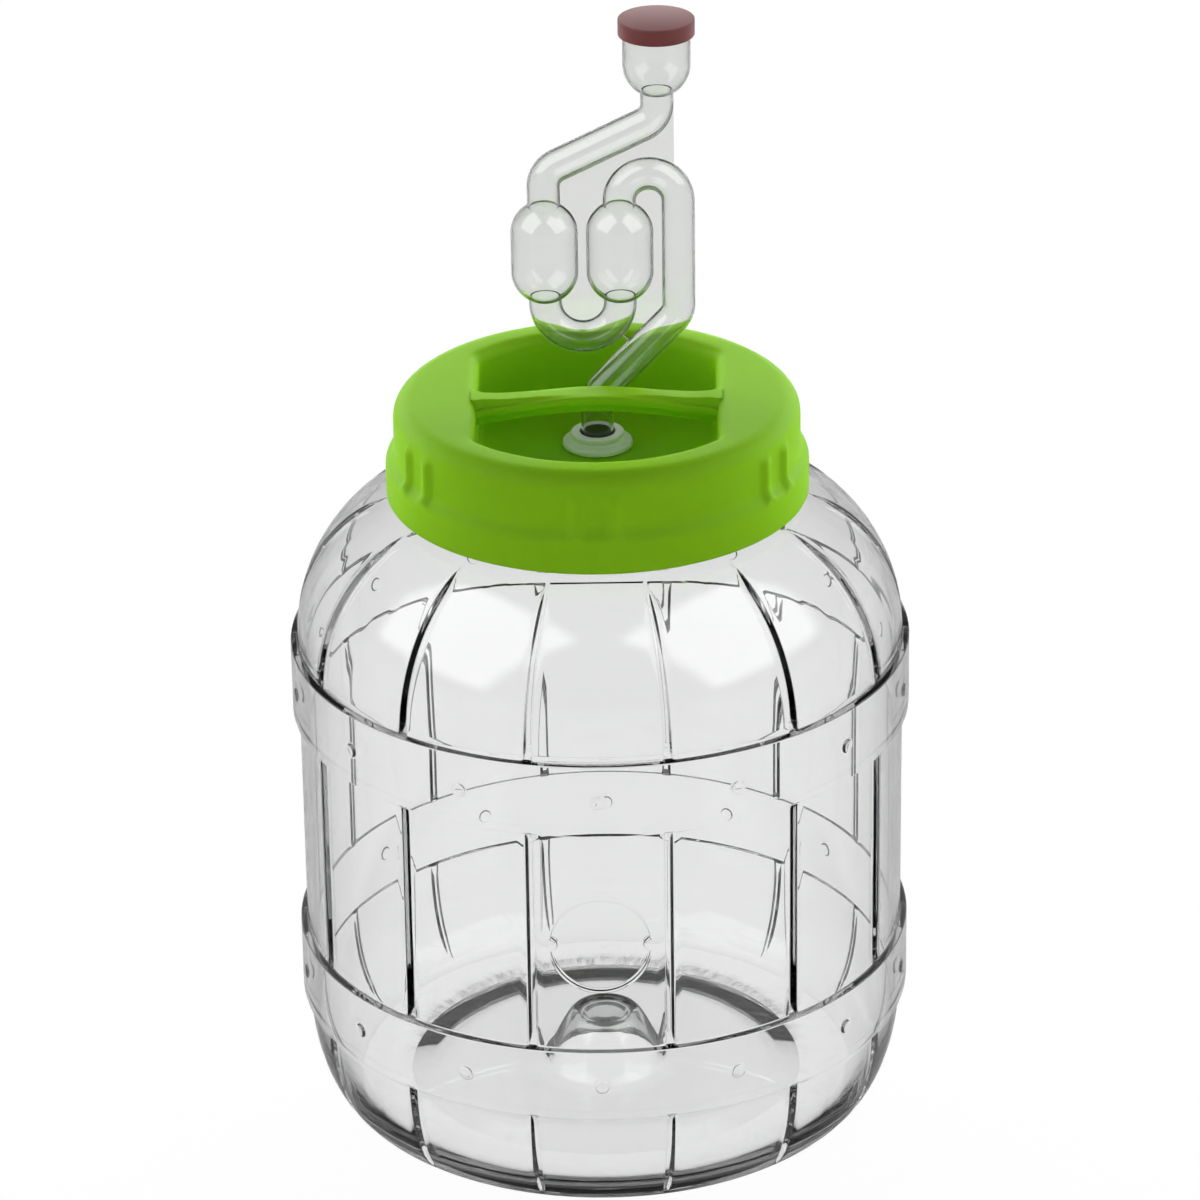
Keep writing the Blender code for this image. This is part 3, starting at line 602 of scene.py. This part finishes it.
# Its rounded corners, as (point, setback, segments).
lid_corners = ((4, 0.0016, 4), (7, 0.0036, 7), (8, 0.0060, 9), (10, 0.0016, 4), (11, 0.0014, 4),
               (13, 0.0006, 3), (14, 0.0006, 3), (15, 0.0008, 2), (16, 0.0008, 2),
               (17, 0.0038, 5), (18, 0.0008, 2), (19, 0.0022, 4))


def sump_reach(angle, grow):
    """How far the sunk middle reaches in a direction, when it is grown all round."""
    across, along = abs(math.cos(angle)), abs(math.sin(angle))
    turn = math.atan2(along, across)
    if turn <= math.atan2(corner_y, sump_half + grow):
        return (sump_half + grow) / across
    if turn >= math.atan2(corner_y, corner_x):
        return sump_radius + grow
    ahead = corner_x * across + corner_y * along
    return ahead + math.sqrt(ahead ** 2 - corner_x ** 2 - corner_y ** 2 +
                             (sump_corner + grow) ** 2)


work = bmesh.new()
shell = draw(work, lid_section)
work.edges.new((shell[-1], shell[0]))
for point, setback, segments in lid_corners:
    round_off(work, [shell[point]], setback, segments)
skirt_runs = [e for e in work.edges if all(abs(v.co.x - skirt_radius) < 1e-6 for v in e.verts)]
bmesh.ops.subdivide_edges(work, edges=skirt_runs, cuts=4)

# The lid has a column wherever a rib or a corner of the sunk middle needs one, and a plain step
# between.
rib_angles = [math.radians(60 * station) + half * rib_spacing / skirt_radius + math.radians(30)
              for station in range(6) for half in (-0.5, 0.5)]
key_angles = [rib + across / skirt_radius for rib in rib_angles for across in rib_places]
key_angles += [math.radians(side + turn * degree)
               for side, turn in ((0, 1), (180, -1), (180, 1), (360, -1))
               for degree in corner_degrees]
key_angles = sorted(key_angles)
lid_columns = []
for here, there in zip(key_angles, key_angles[1:] + [key_angles[0] + 2 * math.pi]):
    steps = math.ceil((there - here) / plain_step)
    lid_columns += [here + (there - here) * i / steps for i in range(steps)]
bmesh.ops.spin(work, geom=work.verts[:] + work.edges[:], cent=(0, 0, 0), axis=(0, 0, 1),
               angle=2 * math.pi, steps=len(lid_columns), use_merge=True)

for vert in work.verts:
    radius, height = math.hypot(vert.co.x, vert.co.y), vert.co.z
    turned = math.atan2(vert.co.y, vert.co.x) % (2 * math.pi)
    angle = lid_columns[round(turned / (2 * math.pi) * len(lid_columns)) % len(lid_columns)]
    back = 0.0
    if radius < apron:
        back = stem_y * (apron - radius) / (apron - hole_radius)
    elif radius < sump_radius + 2 * sump_border:
        grow = radius - sump_radius
        if grow > -sump_border:
            radius = sump_reach(angle, grow)
        elif radius > apron + 0.0001:
            radius *= sump_reach(angle, -sump_border) / (sump_radius - sump_border)
    elif radius > skirt_radius - 0.0015 and height > band_top - 0.0030:
        beside = skirt_radius * min(abs((angle - rib + math.pi) % (2 * math.pi) - math.pi)
                                    for rib in rib_angles)
        proud = rib_proud * soft((rib_top - height) / rib_runout) * (1.0 - soft(beside / rib_half))
        radius = min(radius + proud, band_radius)
    vert.co = (radius * math.cos(angle), radius * math.sin(angle) + back, height)

add_thread(work, lid_thread, lid_thread_turns)
lid = make_piece(work, "screw_lid")

# The handle: its flange is arched and its crest is straight, so the crest stands free at the ends.
handle_end = 0.0375
handle_steps = 48
handle_section = ((0.0033, 0.0), (0.0047, 0.0), (0.00475, -0.0027), (0.0025, -0.0027),
                  (0.0025, -0.0055), (-0.0025, -0.0055), (-0.0025, -0.0027), (-0.00475, -0.0027),
                  (-0.0047, 0.0), (-0.0033, 0.0), (-0.0029, 0.0), (-0.0024, 0.0), (0.0024, 0.0),
                  (0.0029, 0.0))
handle_corners = ((1, 0.0008, 3), (8, 0.0008, 3), (2, 0.0005, 2), (7, 0.0005, 2), (3, 0.0005, 2),
                  (6, 0.0005, 2), (4, 0.0005, 2), (5, 0.0005, 2))
crest_half = 0.0025
crest_rise = 0.0008
crest_reach = 0.017
dip = 0.0004
dip_x = 0.0285
dip_reach = 0.006
crest_edge = 0.0023
crest_fade = 0.0011
flange_top = -0.0011
flange_sag = 0.0029
handle_sink = 0.00005
end_flare = 0.0012
end_flare_run = 0.0010

work = bmesh.new()
section = [work.verts.new((-handle_end, y, z)) for y, z in handle_section]
work.faces.new(section)
for point, setback, segments in handle_corners:
    round_off(work, [section[point]], setback, segments)
crest = [e for e in work.edges
         if all(abs(v.co.z) < 1e-7 and abs(v.co.y) < crest_half for v in e.verts)]
bmesh.ops.bisect_edges(work, edges=crest, cuts=5)
face = max(work.faces, key=lambda f: f.calc_area())
for step in range(handle_steps):
    grown = bmesh.ops.extrude_face_region(work, geom=[face])["geom"]
    if step:
        bmesh.ops.delete(work, geom=[face], context="FACES_ONLY")
    face = next(g for g in grown if isinstance(g, bmesh.types.BMFace))
    bmesh.ops.translate(work, vec=(2 * handle_end / handle_steps, 0, 0),
                        verts=[g for g in grown if isinstance(g, bmesh.types.BMVert)])
for vert in work.verts:
    x, y, z = vert.co
    sag = flange_sag * (x / sump_half) ** 2
    lift = crest_rise * math.exp(-(x / crest_reach) ** 2)
    lift -= dip * math.exp(-((abs(x) - dip_x) / dip_reach) ** 2)
    flare = end_flare * math.exp(-(sump_half - min(abs(x), sump_half)) / end_flare_run)
    if z > flange_top:
        sag *= soft((abs(y) - crest_edge) / crest_fade)
    if abs(y) > 1e-5:
        y += math.copysign(flare, y)
    vert.co = (x, y, lid_top - handle_sink + (z - sag) + lift)
bmesh.ops.recalc_face_normals(work, faces=work.faces)
handle = make_piece(work, "handle_cutter")


def join(piece, tool, operation):
    """Works another shape into a piece and takes the shape away."""
    modifier = piece.modifiers.new("join", "BOOLEAN")
    modifier.operation = operation
    modifier.solver = "EXACT"
    modifier.material_mode = "TRANSFER"
    modifier.object = tool
    bpy.context.view_layer.update()
    old = piece.data
    finished = piece.evaluated_get(bpy.context.evaluated_depsgraph_get())
    piece.data = bpy.data.meshes.new_from_object(finished)
    piece.data.name = old.name
    piece.modifiers.clear()
    bpy.data.meshes.remove(old)
    bpy.data.objects.remove(tool, do_unlink=True)


join(lid, handle, "UNION")
shade(lid, 40)

green_pp = Finish("satin_green", Specular_IOR_Level=0.03)
green_pp.feed("Base Color", green_pp.mix(green_pp.noise(35.0, 3.0), (0.225, 0.515, 0.008, 1.0),
                                         (0.255, 0.560, 0.013, 1.0)))
fine = green_pp.noise(1600.0, 2.0)
green_pp.feed("Roughness", fine * 0.10 + 0.36)
green_pp.bump(fine, 0.12, 0.0002)
lid.data.materials.clear()
lid.data.materials.append(green_pp.material)
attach(lid, "lid")
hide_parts("lid")


# ---------------------------------------------------------------------------------------------
# Grommet: a soft bush of milky silicone, pushed into the hole in the lid's sunk floor. Its crown
# grips the stem, and its flange and foot hold the floor between them.
seat = floor_z + 0.0003
under = floor_z - 0.0021
crown = floor_z + 0.0046
crown_bore = 0.0052
hole_fit = 0.0064
# Between these distances from the stem's middle the painted shade in the bore fades out.
bore_shade_edge = (0.00525, 0.00560)
grommet = turned_piece("stem_bush", [
    (crown_bore, crown), (0.0080, crown), (0.0079, floor_z + 0.0036), (0.0071, floor_z + 0.0026),
    (0.0078, seat + 0.0017), (0.0104, seat + 0.0015), (0.0107, seat), (hole_fit, seat),
    (hole_fit, under), (0.0088, under), (0.0084, under - 0.0010), (0.0070, under - 0.0026),
    (crown_bore, under - 0.0026)], 0.00035, 3, 96, (0.0, stem_y))

# Milky outside, with painted shade in the bore: near the stem's middle the colour turns dark.
milky = Finish("milky_silicone", Roughness=0.28, Transmission_Weight=0.12, IOR=1.41)
soft_white = milky.mix(milky.noise(160.0, 2.0), (0.80, 0.84, 0.78, 1.0), (0.88, 0.91, 0.87, 1.0))
from_stem = milky.node("ShaderNodeMapping", {"vector_type": "POINT"},
                       {"Vector": milky.place, "Location": (0.0, -stem_y, 0.0),
                        "Scale": (1.0, 1.0, 0.0)})["Vector"]
distance = milky.node("ShaderNodeVectorMath", {"operation": "LENGTH"}, {0: from_stem})["Value"]
bore_shade = milky.fade(distance, bore_shade_edge[0], bore_shade_edge[1], 1.0, 0.0)
milky.feed("Base Color", milky.mix(bore_shade, soft_white, (0.055, 0.07, 0.05, 1.0)))
grommet.data.materials.append(milky.material)
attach(grommet, "grommet")
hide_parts("grommet")


# ---------------------------------------------------------------------------------------------
# Airlock: one clear tube, 0.7 mm thick, drawn through a stem, an arch, two bulbs with a trap bend
# between them, and a slanted outlet up to a cup. A thin web stiffens it between the tubes.
tube_radius = 0.0049
tube_wall = 0.0007
bulb_radius = 0.0100
stem_low = floor_z - 0.0120
stem_bend = floor_z + 0.0164
stem_reach = 0.0248
stem_slant = math.radians(43.0)
bend_radius = 0.0075
arch_radius = 0.0087
trap_radius = 0.0112
second_bend = stem_bend + stem_reach / math.tan(stem_slant)
bulb_low = second_bend + 0.0037
bulb_high = bulb_low + 0.0320
right_bulb_x = stem_reach - 2 * arch_radius
left_bulb_x = right_bulb_x - 2 * trap_radius
outlet_bend = bulb_high + 0.0094
outlet_reach = 0.0338
outlet_slant = math.radians(26.2)
cup_x = left_bulb_x + outlet_reach
cup_bend = outlet_bend + outlet_reach * math.tan(outlet_slant)
cup_bottom = cup_bend + 0.0070
cup_rim = cup_bottom + 0.0226
web_half = 0.0006
web_corner = 0.0010


class Tube:
    """A round tube drawn out ring by ring; its heading is the angle from straight up to +X."""

    def __init__(self, start_z, radius, segments):
        self.work = bmesh.new()
        self.place = Vector((0.0, stem_y, start_z))
        self.heading = 0.0
        self.radius = radius
        ring = bmesh.ops.create_circle(self.work, cap_ends=False, segments=segments,
                                       radius=radius, matrix=Matrix.Translation(self.place))
        self.verts = ring["verts"]
        self.edges = self.work.edges[:]
        self.first = self.edges[:]

    def ahead(self):
        return Vector((math.sin(self.heading), 0.0, math.cos(self.heading)))

    def take(self, grown):
        """Makes the ring that was grown last the tube's end."""
        self.verts = [g for g in grown if isinstance(g, bmesh.types.BMVert)]
        ring = set(self.verts)
        self.edges = [g for g in grown if isinstance(g, bmesh.types.BMEdge)
                      and g.verts[0] in ring and g.verts[1] in ring]

    def run(self, length, radius=None):
        """Draws the tube on by a length, and widens or narrows it to a radius."""
        self.take(bmesh.ops.extrude_edge_only(self.work, edges=self.edges)["geom"])
        bmesh.ops.translate(self.work, vec=self.ahead() * length, verts=self.verts)
        self.place += self.ahead() * length
        if radius is not None and radius != self.radius:
            share = radius / self.radius
            bmesh.ops.scale(self.work, vec=(share, share, share),
                            space=Matrix.Translation(-self.place), verts=self.verts)
            self.radius = radius

    def bend(self, radius, angle):
        """Turns the tube by an angle, to the right where it is positive."""
        turn = 1 if angle > 0 else -1
        right = Vector((math.cos(self.heading), 0.0, -math.sin(self.heading)))
        centre = self.place + right * radius * turn
        steps = max(2, math.ceil(abs(angle) / math.radians(5.0)))
        self.take(bmesh.ops.spin(self.work, geom=self.verts + self.edges, cent=centre,
                                 axis=(0, turn, 0), angle=abs(angle), steps=steps)["geom_last"])
        self.place = centre + Matrix.Rotation(angle, 3, "Y") @ (self.place - centre)
        self.heading += angle

    def up_to(self, x, z, setback=0.0):
        """Draws the tube on to a point, less a setback."""
        self.run((Vector((x, stem_y, z)) - self.place).length - setback)

    def corner(self, radius, angle, x, z):
        """Draws the tube up to a corner between two straight runs and round it."""
        self.up_to(x, z, radius * math.tan(abs(angle) / 2))
        self.bend(radius, angle)

    def swell(self, radius, steps, depth):
        """Opens the tube into the round end of a bulb that starts a depth ahead."""
        narrow = math.asin(self.radius / radius)
        before = radius * (1 - math.cos(narrow))
        self.run(depth + before)
        for step in range(1, steps + 1):
            turn = narrow + (math.pi / 2 - narrow) * step / steps
            now = radius * (1 - math.cos(turn))
            self.run(now - before, radius * math.sin(turn))
            before = now

    def close_in(self, tube, steps):
        """Closes the bulb again down to the tube's radius."""
        radius = self.radius
        narrow = math.asin(tube / radius)
        before = 0.0
        for step in range(1, steps + 1):
            turn = (math.pi / 2 - narrow) * step / steps
            now = radius * math.sin(turn)
            self.run(now - before, radius * math.cos(turn))
            before = now


def airlock_side(inset, run_on):
    """The airlock's outside, or its bore, which is inset by the wall and runs on past its ends."""
    tube = Tube(stem_low - run_on, tube_radius - inset, 56)
    tube.corner(bend_radius, stem_slant, 0.0, stem_bend)
    tube.corner(bend_radius, -stem_slant, stem_reach, second_bend)
    tube.up_to(stem_reach, bulb_high)
    tube.bend(arch_radius, -math.pi)
    for last in (False, True):
        tube.swell(bulb_radius - inset, 14, inset)
        tube.run(bulb_high - bulb_low - 2 * bulb_radius)
        tube.close_in(tube_radius - inset, 14)
        if not last:
            tube.up_to(right_bulb_x, bulb_low)
            tube.bend(trap_radius, math.pi)
    tube.corner(bend_radius, math.pi / 2 - outlet_slant, left_bulb_x, outlet_bend)
    tube.corner(bend_radius, outlet_slant - math.pi / 2, cup_x, cup_bend)
    tube.up_to(cup_x, cup_bottom)
    tube.swell(bulb_radius - inset, 16, inset)
    tube.up_to(cup_x, cup_rim + run_on)
    bmesh.ops.holes_fill(tube.work, edges=tube.first + tube.edges, sides=0)
    bmesh.ops.recalc_face_normals(tube.work, faces=tube.work.faces)
    return make_piece(tube.work, "airlock_tube")


airlock = airlock_side(0.0, 0.0)

# The web's outline follows the middle lines of the tubes, so its edge is hidden inside them.
web_right = cup_x + tube_radius
trap_x = right_bulb_x - trap_radius
trap = [(trap_x + trap_radius * math.cos(a), bulb_low + trap_radius * math.sin(a))
        for a in [-stem_slant - (math.pi - stem_slant) * i / 12 for i in range(13)]]
along = trap_x * math.sin(stem_slant) + (bulb_low - stem_bend) * math.cos(stem_slant)
web_outline = [(along * math.sin(stem_slant), stem_bend + along * math.cos(stem_slant))] + trap
web_outline += [(left_bulb_x, outlet_bend - bend_radius / 2),
                (left_bulb_x + bend_radius / 2, outlet_bend),
                (cup_x - bend_radius / 2, cup_bend - bend_radius / 4),
                (cup_x, cup_bottom - web_corner), (web_right - web_corner, cup_bottom - web_corner),
                (web_right, cup_bottom - 2 * web_corner), (web_right, bulb_high),
                (stem_reach, second_bend)]
work = bmesh.new()
plate = work.faces.new([work.verts.new((x, stem_y - web_half, z)) for x, z in web_outline])
grown = bmesh.ops.extrude_face_region(work, geom=[plate], use_keep_orig=True)["geom"]
bmesh.ops.translate(work, vec=(0, 2 * web_half, 0),
                    verts=[g for g in grown if isinstance(g, bmesh.types.BMVert)])
bmesh.ops.recalc_face_normals(work, faces=work.faces)
web = make_piece(work, "web_cutter")

airlock.data.materials.append(
    clear_plastic("clear_tube", (0.855, 0.865, 0.852, 1.0), 0.92, 60.0, 0.01, 0.0005))
web.data.materials.append(
    clear_plastic("clear_web", (0.73, 0.74, 0.72, 1.0), 0.90, 60.0, 0.01, 0.0005))
join(airlock, web, "UNION")
join(airlock, airlock_side(tube_wall, 0.0020), "DIFFERENCE")
shade(airlock, 35)
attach(airlock, "airlock")
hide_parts("airlock")


# ---------------------------------------------------------------------------------------------
# Cap: a small matt cap, moulded in dark red, that sits loosely on the rim of the airlock's cup.
cap_radius = 0.0113
cap_bore = 0.0103
cap_top = cup_rim + 0.0015
cap_foot = cap_top - 0.0050
cap_under = cap_top - 0.0012
cap = turned_piece("cup_cap", [(0.0, cap_top), (cap_radius, cap_top), (cap_radius, cap_foot),
                               (cap_bore, cap_foot), (cap_bore, cap_under), (0.0, cap_under)],
                   0.00035, 3, 120, (cup_x, stem_y))
maroon = Finish("matt_maroon", Roughness=0.50, Sheen_Weight=0.16, Sheen_Roughness=0.45)
speckle = maroon.noise(2600.0, 2.0)
maroon.feed("Base Color", maroon.mix(speckle, (0.15, 0.019, 0.019, 1.0),
                                     (0.23, 0.036, 0.034, 1.0)))
maroon.bump(speckle, 0.35, 0.0002)
cap.data.materials.append(maroon.material)
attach(cap, "cap")
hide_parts("airlock_cap")


# ---------------------------------------------------------------------------------------------
# Studio: a white paper floor, two soft boxes above the jar on the left and the right, which show
# as highlights only, and a hall that is pale along the horizon and dark overhead, which draws the
# edges of the clear walls.
def seen_straight(sight):
    """1 for what is seen directly or through clear plastic, 0 for what is seen mirrored."""
    mirrored = sight["Glossy Depth"].at_most(1.0)
    return (sight["Is Camera Ray"] + sight["Is Transmission Ray"]) * (1 - mirrored)


work = bmesh.new()
bmesh.ops.create_grid(work, x_segments=1, y_segments=1, size=6.0)
floor = make_piece(work, "studio_floor")
paper = Finish("white_paper", Roughness=0.9)
sight = paper.node("ShaderNodeLightPath")
straight = seen_straight(sight)
paper.feed("Base Color", paper.mix(straight + sight["Is Diffuse Ray"] * 0.4,
                                   (0.45, 0.45, 0.45, 1.0), (0.95, 0.95, 0.95, 1.0)))
glow = paper.node("ShaderNodeEmission", inputs={"Color": (1.0, 1.0, 1.0, 1.0), "Strength": 1.0})
paper.blend_in(straight * 0.96, glow[0])
floor.data.materials.append(paper.material)

world = bpy.data.worlds.new("studio")
bpy.context.scene.world = world
world.use_nodes = True
hall = Nodes(world.node_tree)
hall.tree.nodes.clear()
heading = hall.node("ShaderNodeSeparateXYZ",
                    inputs={0: hall.node("ShaderNodeTexCoord")["Generated"]})
height = heading["Z"]
sight = hall.node("ShaderNodeLightPath")
straight = seen_straight(sight)
soft_light = sight["Is Diffuse Ray"]

# The camera sees the hall white. Through the plastic it is pale along the horizon and dark
# overhead, and mirrored it is grey along the horizon and darker overhead.
sky = hall.fade(height, 0.10, 0.45, 0.85, 0.04)
camera_white = sight["Is Camera Ray"] * (1 - sky)
horizon = hall.fade(height, 0.04, 0.30, 0.48, 0.15)

# The light on the matt pieces comes from low down, most of it from behind, so that the lid's top
# is bright and its sunk middle lies in shade.
wash_level = 1.30
wash_lean = 0.62
wash_behind = 12.0
wash_least = 0.08
low = hall.fade(height, 0.50, 0.70, 1.0, 0.0)
near = hall.fade(height, 0.28, 0.45, 1.0, 0.0)
behind = hall.fade(heading["Y"], 0.15, 0.70, 0.0, 1.0)
wash = low * (1 + heading["Y"] * wash_lean) * wash_level
wash = wash + near * behind * wash_behind + wash_least

mirrored = (1 - straight) * (1 - soft_light)
strength = straight * sky + soft_light * wash + mirrored * horizon + camera_white
background = hall.node("ShaderNodeBackground", inputs={"Color": (1.0, 1.0, 1.0, 1.0),
                                                       "Strength": strength})
hall.node("ShaderNodeOutputWorld", inputs={"Surface": background[0]})

box_size = 1.9
box_watts = 11.0
box_glow = 2.4
box_direction = (0.67, -0.25, 0.70)
box_distance = 1.5
box_centre = Vector((0.0, 0.0, 0.15))
box_edge = (0.34, 0.49)
for name, side in (("left_box", -1), ("right_box", 1)):
    light = bpy.data.lights.new(name, "AREA")
    light.shape = "SQUARE"
    light.size = box_size
    light.energy = box_watts
    lamp = bpy.data.objects.new(name, light)
    toward = Vector((side * box_direction[0], box_direction[1], box_direction[2])).normalized()
    lamp.location = box_centre + toward * box_distance
    lamp.rotation_euler = toward.to_track_quat("Z", "Y").to_euler()
    lamp.visible_diffuse = False
    bpy.context.scene.collection.objects.link(lamp)

    # The box fades out towards its edges.
    light.use_nodes = True
    box = Nodes(light.node_tree)
    across = box.node("ShaderNodeSeparateXYZ",
                      inputs={0: box.node("ShaderNodeNewGeometry")["Parametric"]})
    fade_x, fade_y = (box.fade(abs(across[part] - 0.5), box_edge[0], box_edge[1], 1.0, 0.0)
                      for part in ("X", "Y"))
    lit = fade_x * fade_y * box_glow
    box.tree.links.new(lit.socket, box.tree.nodes["Emission"].inputs["Strength"])

camera_place = (0.0216, -1.6416, 0.9412)
camera_pan = math.radians(0.748)
camera_tilt = math.radians(90.0 - 25.366)
camera_roll = math.radians(-0.831)
camera_data = bpy.data.cameras.new("camera")
camera_data.lens = 180.0
camera_data.sensor_width = 36.0
camera_data.clip_start = 0.05
camera_data.clip_end = 50.0
camera = bpy.data.objects.new("camera", camera_data)
camera.matrix_world = Matrix.Translation(camera_place) @ Matrix.Rotation(camera_pan, 4, "Z") @ \
    Matrix.Rotation(camera_tilt, 4, "X") @ Matrix.Rotation(camera_roll, 4, "Z")
bpy.context.scene.collection.objects.link(camera)
bpy.context.scene.camera = camera
bpy.context.scene.view_settings.view_transform = "Standard"
bpy.context.scene.cycles.max_bounces = 16
bpy.context.scene.cycles.glossy_bounces = 10
bpy.context.scene.cycles.transmission_bounces = 16
